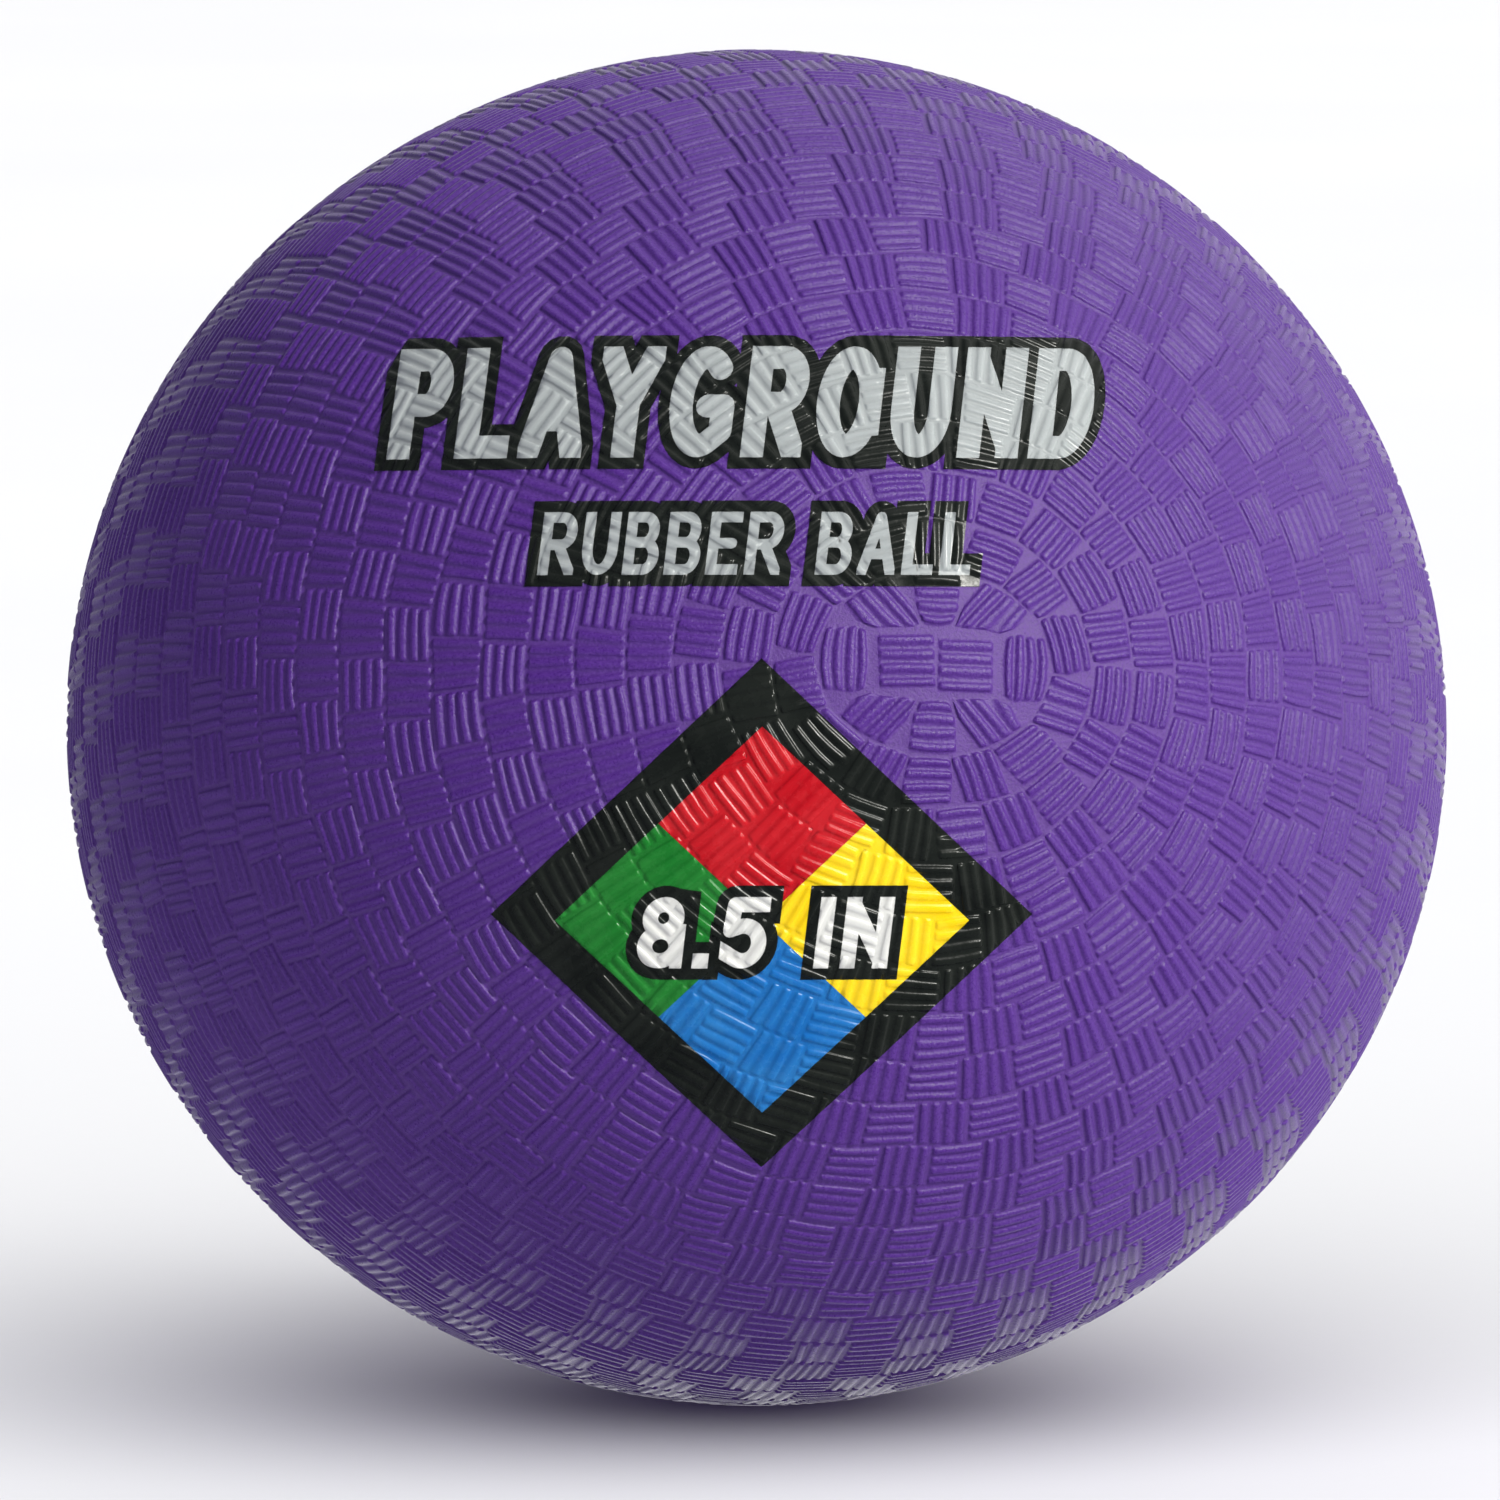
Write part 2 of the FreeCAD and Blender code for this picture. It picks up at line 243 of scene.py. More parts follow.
# How finely the smooth parts are divided.
BORDER_POINTS, POLE_POINTS, SHELL_POINTS = 480, 144, 160
INSIDE_STEP = math.radians(3)
SHELL_STEPS = 60
CAP_ANGLE, SHELL_END = math.radians(1.5), math.radians(178.5)  # where small caps close the insides

# For delaunay_2d_cdt: keep only what is inside the outlines, and merge points this near.
INSIDE = 1
POLE_MERGE, OUTLINE_MERGE = 1e-9, 1e-7


def rib_grid(patches, ribs, rng):
    """(across, along, height) of every point of some patches, each array patches x across x along.

    across and along run from -1 to 1 over the patch, and the outer row on all four sides is bare rubber.
    """
    pitch = 2 / ribs
    shape = (patches, ribs, 1, 1)
    middles = (np.arange(ribs)[None, :, None, None] + 0.5) * pitch - 1
    middles = middles + rng.normal(0, RIB_SHIFT * pitch, shape)
    widths = rng.normal(1.0, RIB_WIDER, shape)
    heights = np.clip(rng.normal(1.0, RIB_HIGHER, shape), *HEIGHT_LIMITS)
    lengths = 1 - np.abs(rng.normal(0, RIB_SHORTER, shape))
    sway = rng.normal(0, RIB_SWAY * pitch, shape) * np.sin(ALONG * SWAY_BEND + rng.uniform(*ANY_PHASE, shape))
    lean = rng.normal(0, RIB_LEAN * pitch, shape) * ALONG
    offsets = RIB_ACROSS[None, None, :, None] * pitch * widths * ALONG_WIDTH
    offsets[:, 0, :2] *= OUTER_SIDE[:, None]
    offsets[:, -1, -2:] *= OUTER_SIDE[::-1, None]
    across = np.clip(middles + offsets + sway + lean, -PATCH_LIMIT, PATCH_LIMIT)
    full = across.shape
    across = across.reshape(patches, ribs * len(RIB_ACROSS), len(ALONG))
    height = (np.minimum(RIB_PROFILE[:, None], ALONG_HEIGHT) * heights).reshape(across.shape)
    along = np.broadcast_to(ALONG * lengths, full).reshape(across.shape)

    edge = np.ones((patches, 1, len(ALONG)))
    across = np.concatenate([-edge, across, edge], axis=1)
    along = np.concatenate([edge * ALONG, along, edge * ALONG], axis=1)
    along[:, :, 0], along[:, :, -1] = -1, 1
    height = np.concatenate([edge * 0, height, edge * 0], axis=1)
    return across, along, height


class ReliefBuilder:
    """Collects the points and triangles of a ribbed surface round one mould axis."""

    def __init__(self, axis):
        self.basis = mould_basis(axis)
        self.directions, self.heights, self.faces = [], [], []
        self.count = 0

    def add(self, local, heights):
        """Adds unit directions given in the mould's frame, and returns their numbers in the same shape."""
        flat = local.reshape(-1, 3)
        numbers = np.arange(self.count, self.count + len(flat)).reshape(local.shape[:-1])
        self.directions.append(flat / np.linalg.norm(flat, axis=1)[:, None] @ self.basis)
        self.heights.append(np.broadcast_to(heights, local.shape[:-1]).ravel())
        self.count += len(flat)
        return numbers

    def add_grid_faces(self, numbers):
        """Triangles of grids of points: patches x round the axis x away from it."""
        a, b = numbers[:, :-1, :-1].ravel(), numbers[:, :-1, 1:].ravel()
        c, d = numbers[:, 1:, 1:].ravel(), numbers[:, 1:, :-1].ravel()
        self.faces.append(np.stack([a, b, c], axis=1))
        self.faces.append(np.stack([a, c, d], axis=1))

    def circle(self, angle, height=0.0, points=BORDER_POINTS, follow=None):
        """A closed loop of points at an angle from the axis, as (numbers, places).

        follow, if given, is the (half, ring) of the border that the loop wanders with.
        """
        places = np.arange(points) * 2 * math.pi / points
        if follow:
            angle = angle + border_wobble(*follow, places) / BASE_RADIUS
        local = np.stack([np.sin(angle) * np.cos(places), np.sin(angle) * np.sin(places),
                          np.broadcast_to(np.cos(angle), places.shape)], axis=1)
        return list(self.add(local, height)), places

    def zip(self, inner, outer):
        """Fills between two closed loops, each (numbers, places)."""
        self.faces.append(np.array(zip_loops(inner[0], outer[0], inner[1], outer[1])))

    def arrays(self):
        return np.concatenate(self.directions), np.concatenate(self.heights), np.concatenate(self.faces)


def extra(table, half, ring):
    """A border's own value in metres from a table that ends where the borders become regular."""
    values = table[half]
    return values[ring] * MM if ring < len(values) else 0.0


def border(half, ring):
    """The mean angle from the axis to a ring's outer border."""
    return (ring + 0.5) * RING_STEP + extra(OUTWARD, half, ring) / BASE_RADIUS


def ring_patches(half, ring):
    """How many patches a ring has: an even number, so that rib directions can alternate all round."""
    middle = (border(half, ring - 1) + border(half, ring)) / 2
    return 2 * round(2 * math.pi * math.sin(middle) / PATCH_WIDTH / 2)


def border_wobble(half, ring, places):
    """How far a ring's outer border is from its circle, in metres, at some angles round the axis."""
    if ring == RINGS - 1 or (half, ring) == ("back", MIDDLE_RINGS["back"]):
        return np.zeros_like(places)
    if (half, ring) == ("front", 0):
        length, width, power = POLE_OUTLINE
        inverse = (np.abs(np.cos(places)) / length) ** power + (np.abs(np.sin(places)) / width) ** power
        return inverse ** (-1 / power) * MM - BASE_RADIUS * border("front", 0)
    oval = extra(LONGER, half, ring) * np.cos(2 * places)
    rng = np.random.default_rng((HALF_SEEDS[half], ring))
    turns = [max(2, round(share * ring_patches(half, ring))) for share in WAVES]
    waves = sum(np.sin(turn * places + rng.uniform(*ANY_PHASE)) for turn in turns)
    return oval + WOBBLE / WAVES_REACH * waves


class Ring:
    """A ring of patches. x and y are in the plane that touches the ball at a patch's middle, y outwards."""

    def __init__(self, half, number):
        self.half, self.number = half, number
        self.patches = ring_patches(half, number)
        near, far = border(half, number - 1), border(half, number)
        if number == RINGS - 1:
            far -= FLASH_WIDTH / BASE_RADIUS
        self.middle = (near + far) / 2
        self.half_turn = math.pi / self.patches
        self.half_height = BASE_RADIUS * (far - near) / 2 - PATCH_GAP / 2
        self.straight = number <= STRAIGHT_RINGS

    def away(self, y):
        """How far points of the plane are from the axis."""
        return BASE_RADIUS * math.sin(self.middle) + y * math.cos(self.middle)

    def toward(self, y):
        """How far points of the plane are along the axis."""
        return BASE_RADIUS * math.cos(self.middle) - y * math.sin(self.middle)

    def half_width(self, y):
        width = math.tan(self.half_turn) * self.away(y) - PATCH_GAP / 2
        return np.minimum(width, WIDEST_HALF) if self.straight else width

    def outward_ribs(self, across, along):
        """(x, y) of patches whose ribs run away from the axis."""
        low = -self.half_height
        if self.straight:
            x = across * self.half_width(WIDTH_AT * self.half_height)
            slope = math.tan(self.half_turn) * math.cos(self.middle)
            low = np.clip((np.abs(x) - self.half_width(0.0)) / slope, low, LATEST_START * self.half_height)
        y = low + (along + 1) / 2 * (self.half_height - low)
        return (x if self.straight else across * self.half_width(y)), y

    def sideways_ribs(self, across, along):
        """(x, y) of patches whose ribs run round the axis."""
        y = across * self.half_height
        return along * self.half_width(y), y

    def move_sides(self, x, y, before, after):
        """x with each patch's two sides moved onto its borders, each (shift, lean)."""
        before, after = (shift + lean * y / self.half_height for shift, lean in (before, after))
        side = np.clip(x / self.half_width(y) / 2 + 0.5, 0, 1)
        return x + before + (after - before) * side

    def bend(self, x, y, place):
        """(x, y) with the near and far sides bent along the ring's two borders."""
        turned = place + np.arctan2(x, self.away(y))
        out = np.clip(y / self.half_height / 2 + 0.5, 0, 1)
        y = y - out * x ** 2 / (2 * (BASE_RADIUS * math.tan(self.middle) + self.half_height))
        near, far = (border_wobble(self.half, number, turned) for number in (self.number - 1, self.number))
        moved = (1 - out) * near + out * far
        return x * (1 + moved * math.cos(self.middle) / self.away(y)), y + moved


def add_ring(build, half, number):
    """One ring of patches. Returns its inner and outer edges as closed loops."""
    rng = np.random.default_rng(HALF_SEEDS[half] + number)
    ring = Ring(half, number)
    patches = ring.patches
    places = rng.uniform(0, 2 * math.pi) + 2 * ring.half_turn * np.arange(patches)
    ribs = USUAL_RIBS + (rng.random() < FIVE_RIBS_CHANCE)

    # the border after each patch, a shift and a lean that the next patch shares
    spread = STRAIGHT_SPREAD if ring.straight else 1
    shift = rng.normal(0, BORDER_SHIFT, patches) * spread
    lean = rng.normal(0, BORDER_LEAN, patches) * spread
    edges = {}
    for outward in (True, False):
        which = np.arange(0 if outward else 1, patches, 2)
        across, along, height = rib_grid(len(which), ribs, rng)
        if not ring.straight:
            height = np.maximum(height, JOINT_HEIGHT)
        if outward:
            x, y = ring.outward_ribs(across, along)
        else:
            x, y = ring.sideways_ribs(across, along)
            x, y, height = (v.transpose(0, 2, 1) for v in (x, y, height))
        place = places[which][:, None, None]
        before, after = ([v[numbers][:, None, None] for v in (shift, lean)] for numbers in (which - 1, which))
        x, y = ring.bend(ring.move_sides(x, y, before, after), y, place)
        away, toward = ring.away(y), ring.toward(y)
        local = np.stack([away * np.cos(place) - x * np.sin(place), away * np.sin(place) + x * np.cos(place),
                          toward], axis=-1)
        numbers = build.add(local, height)
        build.add_grid_faces(numbers)
        turn = place + np.arctan2(x, away)
        angle = np.arctan2(np.hypot(x, away), toward)
        for patch, own in enumerate(which):
            edges[own] = {
                "inner": (numbers[patch, :, 0], turn[patch, :, 0]),
                "outer": (numbers[patch, :, -1], turn[patch, :, -1]),
                "first": (numbers[patch, 0], angle[patch, 0]),
                "last": (numbers[patch, -1], angle[patch, -1]),
            }

    # the groove between each patch and the next one round
    triangles = []
    for own in range(patches):
        last, first = edges[own]["last"], edges[(own + 1) % patches]["first"]
        for a, b, c in zip_strip(list(last[0]), list(first[0]), last[1], first[1]):
            triangles.append((a, c, b))
    build.faces.append(np.array(triangles))

    def loop(side):
        numbers = np.concatenate([edges[own][side][0] for own in range(patches)])
        turns = np.concatenate([edges[own][side][1] for own in range(patches)])
        return list(numbers), turns

    return loop("inner"), loop("outer")


def grid_border(grid):
    """The values round the edge of a grid, anticlockwise."""
    return np.concatenate([grid[:-1, 0], grid[-1, :-1], grid[:0:-1, -1], grid[0, :0:-1]])


def add_pole(build, rng):
    """The middle of the front half: a pair of patches on a bare oval. Returns its edge as a closed loop."""
    rim, places = build.circle(border("front", 0), points=POLE_POINTS, follow=("front", 0))
    reach = BASE_RADIUS * np.tan(border("front", 0) + border_wobble("front", 0, places) / BASE_RADIUS)
    numbers, points = list(rim), [Vector(p) for p in zip(reach * np.cos(places), reach * np.sin(places))]
    outlines = [list(range(len(points)))]
    for x, y, half_width, half_length, turn in POLE_PATCHES:
        across, along, height = rib_grid(1, USUAL_RIBS, rng)
        u, v, turn = across * half_width * MM, along * half_length * MM, math.radians(turn)
        px = x * MM + u * math.cos(turn) - v * math.sin(turn)
        py = y * MM + u * math.sin(turn) + v * math.cos(turn)
        grid = build.add(np.stack([px, py, np.full_like(px, BASE_RADIUS)], axis=-1), height)
        build.add_grid_faces(grid.transpose(0, 2, 1))
        outlines.append(list(range(len(points), len(points) + len(grid_border(grid[0])))))
        numbers += list(grid_border(grid[0]))
        points += [Vector(p) for p in zip(grid_border(px[0]), grid_border(py[0]))]
    _, _, triangles, origins, _, owners = delaunay_2d_cdt(points, [], outlines, INSIDE, POLE_MERGE)
    bare = [[numbers[origins[corner][0]] for corner in triangle]
            for triangle, owner in zip(triangles, owners) if owner == [0]]
    build.faces.append(np.array(bare))
    return rim, places


def inside_steps(start_angle, end_angle, depth, recessed):
    """The smooth inside as (angle, height in ribs) from the end to the start, with the patch's recess."""
    count = 2 + round((end_angle - (start_angle or 0)) / INSIDE_STEP)
    steps = [(angle, depth) for angle in np.linspace(end_angle, start_angle or CAP_ANGLE, count)]
    if not recessed:
        return steps
    edge, level = PATCH_RADIUS / (BALL_RADIUS - COVER_WALL), depth + PATCH_WALL / RIB_HEIGHT
    beyond = [step for step in steps if step[0] > edge]
    return beyond + [(edge, depth), (edge, level)] + [(angle, level) for angle, _ in steps if angle < edge]


def cover_band(name, half, rings, wall=COVER_WALL - RIB_HEIGHT, flash=0.0):
    """A closed piece of the cover: some rings' ribbed outside, a smooth inside and the walls between."""
    pierced = half == "back"
    axis = VALVE_AXIS if pierced else -VALVE_AXIS
    build = ReliefBuilder(axis)
    first, last = rings[0], rings[-1]
    # outside, from the axis outwards
    if first == 0 and not pierced:
        edge = add_pole(build, np.random.default_rng(HALF_SEEDS[half]))
        start_angle = None
    elif first == 0:
        start_angle = NECK_RADIUS / BASE_RADIUS
        start_edge = edge = build.circle(start_angle, HOLE_RIM)
        for radius, height in DISC_PROFILE:
            step = build.circle(radius / BASE_RADIUS, height)
            build.zip(edge, step)
            edge = step
    else:
        start_angle = border(half, first - 1)
        start_edge = edge = build.circle(start_angle, follow=(half, first - 1))
    for ring in rings:
        if ring <= MIDDLE_RINGS[half]:
            continue
        inner, outer = add_ring(build, half, ring)
        build.zip(edge, inner)
        edge = outer
    end_angle = border(half, last)
    if flash:
        foot = build.circle(end_angle - FLASH_WIDTH / BASE_RADIUS)
        build.zip(edge, foot)
        edge = foot
    end_edge = build.circle(end_angle, flash, follow=(half, last))
    build.zip(edge, end_edge)
    # inside, from the outer wall back to the axis
    depth = -wall / RIB_HEIGHT
    edge = end_edge
    borders = {end_angle: last, start_angle: first - 1}
    for angle, level in inside_steps(start_angle, end_angle, depth, recessed=first == 0 and pierced):
        ring = borders.get(angle, -1)
        inside = build.circle(angle, level, follow=(half, ring) if ring > 0 else None)
        build.zip(edge, inside)
        edge = inside
    if start_angle:
        build.zip(edge, start_edge)
    else:
        pole = build.add(np.array([[0.0, 0.0, 1.0]]), depth)[0]
        loop = edge[0]
        build.faces.append(np.array([(pole, a, b) for a, b in zip(loop, loop[1:] + loop[:1])])[:, ::-1])
    directions, heights, faces = build.arrays()
    relief = np.clip(heights, 0, 1)
    away = np.degrees(np.arccos(np.clip(directions @ axis, -1, 1)))
    lowered = heights * np.interp(away, [LOWER_FROM, 90], [1, LOWEST_RIBS])
    heights = np.where(heights > 0, lowered, heights)
    points = directions * ((BASE_RADIUS + heights * RIB_HEIGHT) * swell(directions))[:, None]
    return mesh_object(name, points, faces, relief)


# ---------------- the print

PRINTED_RINGS = 13  # of the front half, which the print lies on
FILM_DEPTH = 0.25 * MM  # how far an ink's back lies in the rubber
SETTLED = 0.25  # the share of a groove that wet ink fills
LIFT = 0.05 * MM  # how far an ink stands off the ribs
OVERPRINT = 0.03 * MM  # how much further letters stand off than their outline
CUT_FROM, CUT_TO = 0.3 * BALL_RADIUS, 1.1 * BALL_RADIUS  # where the cutters for the inks start and end

# label, words, half a stroke's width, space between letters, how far the outline stands off the ribs
LETTERING = [
    ("title", "PLAYGROUND", 1.75 * MM, 1.5 * MM, LIFT),
    ("subtitle", "RUBBER BALL", 0.8 * MM, 1.0 * MM, LIFT),
    ("number", "8.5 IN", 1.15 * MM, 1.5 * MM, 0.08 * MM),
]


def print_box(node):
    """A CAD film seen square on from the print's side, as (x, y, half width, half height)."""
    points = np.array([v.co for v in frame["nodes"][node].data.vertices])
    x, y = points @ PRINT_RIGHT, points @ PRINT_UP
    return (x.max() + x.min()) / 2, (y.max() + y.min()) / 2, (x.max() - x.min()) / 2, (y.max() - y.min()) / 2


def rhombus(x, y, half_width, half_height):
    return [(x + half_width, y), (x, y + half_height), (x - half_width, y), (x, y - half_height)]


def arc(x, y, across, up, start, end, steps=12):
    """Points of an ellipse's arc, with angles in degrees."""
    angles = np.radians(np.linspace(start, end, steps + 1))
    return [(x + across * math.cos(a), y + up * math.sin(a)) for a in angles]


LEAN = 0.12  # how far the lettering slopes, as a share of its height
OVERRUN = 3  # how far a stroke's square end runs on before it is trimmed, in pen radii

# Plain block letters as pen strokes in a box from 0 to 1 each way, and how wide each is for its height.
BOWL = [(0.0, 1.0), (0.55, 1.0)] + arc(0.6, 0.74, 0.4, 0.26, 90, -90) + [(0.0, 0.48)]
GLYPHS = {
    "P": (0.62, [[(0, 0), (0, 1)], BOWL]),
    "L": (0.54, [[(0, 1), (0, 0), (1, 0)]]),
    "A": (0.72, [[(0, 0), (0.5, 1), (1, 0)], [(0.17, 0.3), (0.83, 0.3)]]),
    "Y": (0.70, [[(0, 1), (0.5, 0.48), (1, 1)], [(0.5, 0.48), (0.5, 0)]]),
    "G": (0.76, [arc(0.5, 0.5, 0.5, 0.5, 48, 300, 20) + [(0.97, 0.16), (0.97, 0.45), (0.62, 0.45)]]),
    "R": (0.66, [[(0, 0), (0, 1)], BOWL, [(0.5, 0.48), (1, 0)]]),
    "O": (0.74, [arc(0.5, 0.5, 0.5, 0.5, 0, 360, 28)]),
    "U": (0.66, [[(0, 1)] + arc(0.5, 0.4, 0.5, 0.4, 180, 360) + [(1, 1)]]),
    "N": (0.68, [[(0, 0), (0, 1), (1, 0), (1, 1)]]),
    "D": (0.68, [[(0, 0), (0, 1), (0.45, 1)] + arc(0.5, 0.5, 0.5, 0.5, 90, -90, 16) + [(0.45, 0), (0, 0)]]),
    "B": (0.64, [[(0, 0), (0, 1)], [(0, 1), (0.5, 1)] + arc(0.55, 0.76, 0.37, 0.24, 90, -90) + [(0, 0.52)],
                 [(0.5, 0.52)] + arc(0.6, 0.26, 0.4, 0.26, 90, -90) + [(0, 0)]]),
    "E": (0.56, [[(1, 1), (0, 1), (0, 0), (1, 0)], [(0, 0.5), (0.85, 0.5)]]),
    "8": (0.66, [arc(0.5, 0.76, 0.42, 0.24, 0, 360, 24), arc(0.5, 0.26, 0.5, 0.26, 0, 360, 24)]),
    "5": (0.64, [[(0.95, 1), (0.1, 1), (0.04, 0.55), (0.4, 0.62)] + arc(0.5, 0.31, 0.5, 0.31, 90, -120, 16)
                 + [(0.0, 0.12)]]),
    ".": (0.02, [[(0, 0.0), (1, 0.0)]]),
    "I": (0.02, [[(0, 0), (0, 1)]]),
    " ": (0.30, []),
}


def clipped(outline, axis, limit, sign):
    """The part of a convex outline on one side of a line across an axis."""
    kept = []
    for a, b in zip(outline, outline[1:] + outline[:1]):
        inside_a, inside_b = (sign * (limit - p[axis]) >= 0 for p in (a, b))
        if inside_a:
            kept.append(a)
        if inside_a != inside_b:
            share = (limit - a[axis]) / (b[axis] - a[axis])
            kept.append(tuple(a[i] + share * (b[i] - a[i]) for i in (0, 1)))
    return kept


def is_square(point, free):
    """Whether a stroke's end is trimmed square: any in a corner, and a free one at the box's side."""
    return point in ((0, 0), (0, 1), (1, 0), (1, 1)) or free and (max(point) == 1 or min(point) == 0)


def pen_outline(start, end, radius, square_start, square_end):
    """The outline of one straight stroke. A square end runs on, to be trimmed by the letter's box."""
    (x0, y0), (x1, y1) = start, end
    turn = math.degrees(math.atan2(y1 - y0, x1 - x0))
    away = (math.cos(math.radians(turn)), math.sin(math.radians(turn)))
    outline = []
    for x, y, square, sign in ((x1, y1, square_end, 1), (x0, y0, square_start, -1)):
        if square:
            x, y = x + sign * away[0] * OVERRUN * radius, y + sign * away[1] * OVERRUN * radius
            side = (-away[1] * radius * sign, away[0] * radius * sign)
            outline += [(x - side[0], y - side[1]), (x + side[0], y + side[1])]
        else:
            outline += arc(x, y, radius, radius, turn - 90 * sign, turn - 90 * sign + 180, 8)
    return outline


def lettering(text, box, pen, gap, grow=0.0):
    """Convex outlines of some text that fills a box. pen is half a stroke's width, gap is between letters."""
    x, y, half_width, half_height = box
    widths = [GLYPHS[letter][0] for letter in text]
    left, low, tall = x - half_width + pen, y - half_height + pen, 2 * (half_height - pen)
    space, reach = 2 * pen + gap, pen + grow
    unit = (2 * (half_width - pen) - LEAN * tall - space * (len(text) - 1)) / sum(widths)
    outlines = []
    for letter, width in zip(text, widths):
        right = left + width * unit
        for stroke in GLYPHS[letter][1]:
            for number, (a, b) in enumerate(zip(stroke, stroke[1:])):
                square = [is_square(a, number == 0), is_square(b, number == len(stroke) - 2)]
                start, end = ((left + px * width * unit, low + py * tall) for px, py in (a, b))
                outline = pen_outline(start, end, reach, *square)
                for axis, limit, sign in ((0, left - reach, -1), (0, right + reach, 1), (1, low - reach, -1),
                                          (1, low + tall + reach, 1)):
                    outline = clipped(outline, axis, limit, sign)
                outlines.append([(px + LEAN * (py - low), py) for px, py in outline])
        left = right + space
    return outlines


def prism(name, outlines, low, high):
    """A closed prism along the print's direction over the union of some convex outlines."""
    points, faces = [], []
    for outline in outlines:
        faces.append(list(range(len(points), len(points) + len(outline))))
        points += [Vector(p) for p in outline]
    flat, _, triangles, _, _, origins = delaunay_2d_cdt(points, [], faces, INSIDE, OUTLINE_MERGE)
    flat = np.array([(p.x, p.y) for p in flat])
    triangles = np.array([triangle for triangle, origin in zip(triangles, origins) if origin])
    corners = flat[triangles]
    area = np.cross(corners[:, 1] - corners[:, 0], corners[:, 2] - corners[:, 0])
    triangles[area < 0] = triangles[area < 0][:, ::-1]
    edges = {(a, b) for t in triangles.tolist() for a, b in zip(t, t[1:] + t[:1])}
    rim = np.array([edge for edge in edges if edge[::-1] not in edges])
    count = len(flat)
    sides = [np.stack([rim[:, 0], rim[:, 0] + count, rim[:, 1]], axis=1)[:, ::-1],
             np.stack([rim[:, 1], rim[:, 0] + count, rim[:, 1] + count], axis=1)[:, ::-1]]
    faces = np.concatenate([triangles[:, ::-1], triangles + count] + sides)
    place = flat[:, :1] * PRINT_RIGHT + flat[:, 1:] * PRINT_UP
    return mesh_object(name, np.concatenate([place + low * PRINT_OUT, place + high * PRINT_OUT]), faces)


def film(name, outlines, slab, lift):
    """A film of ink: the ribbed slab inside the outlines, lifted off the rubber, and more so in grooves."""
    cutter = prism(f"{name}_cutter", outlines, CUT_FROM, CUT_TO)
    piece = bpy.data.objects.new(name, slab.data.copy())
    bpy.context.scene.collection.objects.link(piece)
    cut = piece.modifiers.new("cut", "BOOLEAN")
    cut.operation, cut.solver, cut.object = "INTERSECT", "MANIFOLD", cutter
    bpy.context.view_layer.update()
    mesh = bpy.data.meshes.new_from_object(piece.evaluated_get(bpy.context.evaluated_depsgraph_get()))
    piece.modifiers.clear()
    piece.data = mesh
    bpy.data.objects.remove(cutter)
    points = np.empty(3 * len(mesh.vertices), dtype=np.float32)
    mesh.vertices.foreach_get("co", points)
    points = points.reshape(-1, 3)
    radii = np.linalg.norm(points, axis=1)
    directions = points / radii[:, None]
    height = radii / swell(directions) - BASE_RADIUS
    outwards = (lift + SETTLED * (RIB_HEIGHT - height)) * (height > -FILM_DEPTH / 2)
    mesh.vertices.foreach_set("co", (points + directions * outwards[:, None]).ravel())
    smooth(mesh)
    return piece


def print_films():
    """Every ink film, as {CAD node: piece}."""
    slab = cover_band("ink_slab", "front", range(PRINTED_RINGS), wall=FILM_DEPTH)
    outer = rhombus(*print_box("diamond_border_print"))

    # the panel that the four colours share, each a rhombus half its size
    colours = ("red", "yellow", "blue", "green")
    red, yellow, blue, green = (print_box(f"{colour}_panel_print") for colour in colours)
    right, left = yellow[0] + yellow[2], green[0] - green[2]
    top, bottom = red[1] + red[3], blue[1] - blue[3]
    x, y, width, height = (right + left) / 2, (top + bottom) / 2, (right - left) / 2, (top - bottom) / 2
    inner = rhombus(x, y, width, height)
    sides = [[outer[i], outer[(i + 1) % 4], inner[(i + 1) % 4], inner[i]] for i in range(4)]
    width, height = width / 2, height / 2
    centres = [(x, y + height), (x + width, y), (x, y - height), (x - width, y)]

    films = {"diamond_border_print": film("diamond_border_print_ink", sides, slab, LIFT)}
    for colour, centre in zip(colours, centres):
        outline = rhombus(*centre, width, height)
        films[f"{colour}_panel_print"] = film(f"{colour}_panel_print_ink", [outline], slab, LIFT)
    for label, text, pen, gap, lift in LETTERING:
        around, letters = f"{label}_outline_print", f"{label}_print"
        box = print_box(letters)
        grow = print_box(around)[3] - box[3]
        films[around] = film(f"{around}_ink", lettering(text, box, pen, gap, grow), slab, lift)
        films[letters] = film(f"{letters}_ink", lettering(text, box, pen, gap), slab, lift + OVERPRINT)
    bpy.data.objects.remove(slab)
    return films


# ---------------- the layers inside

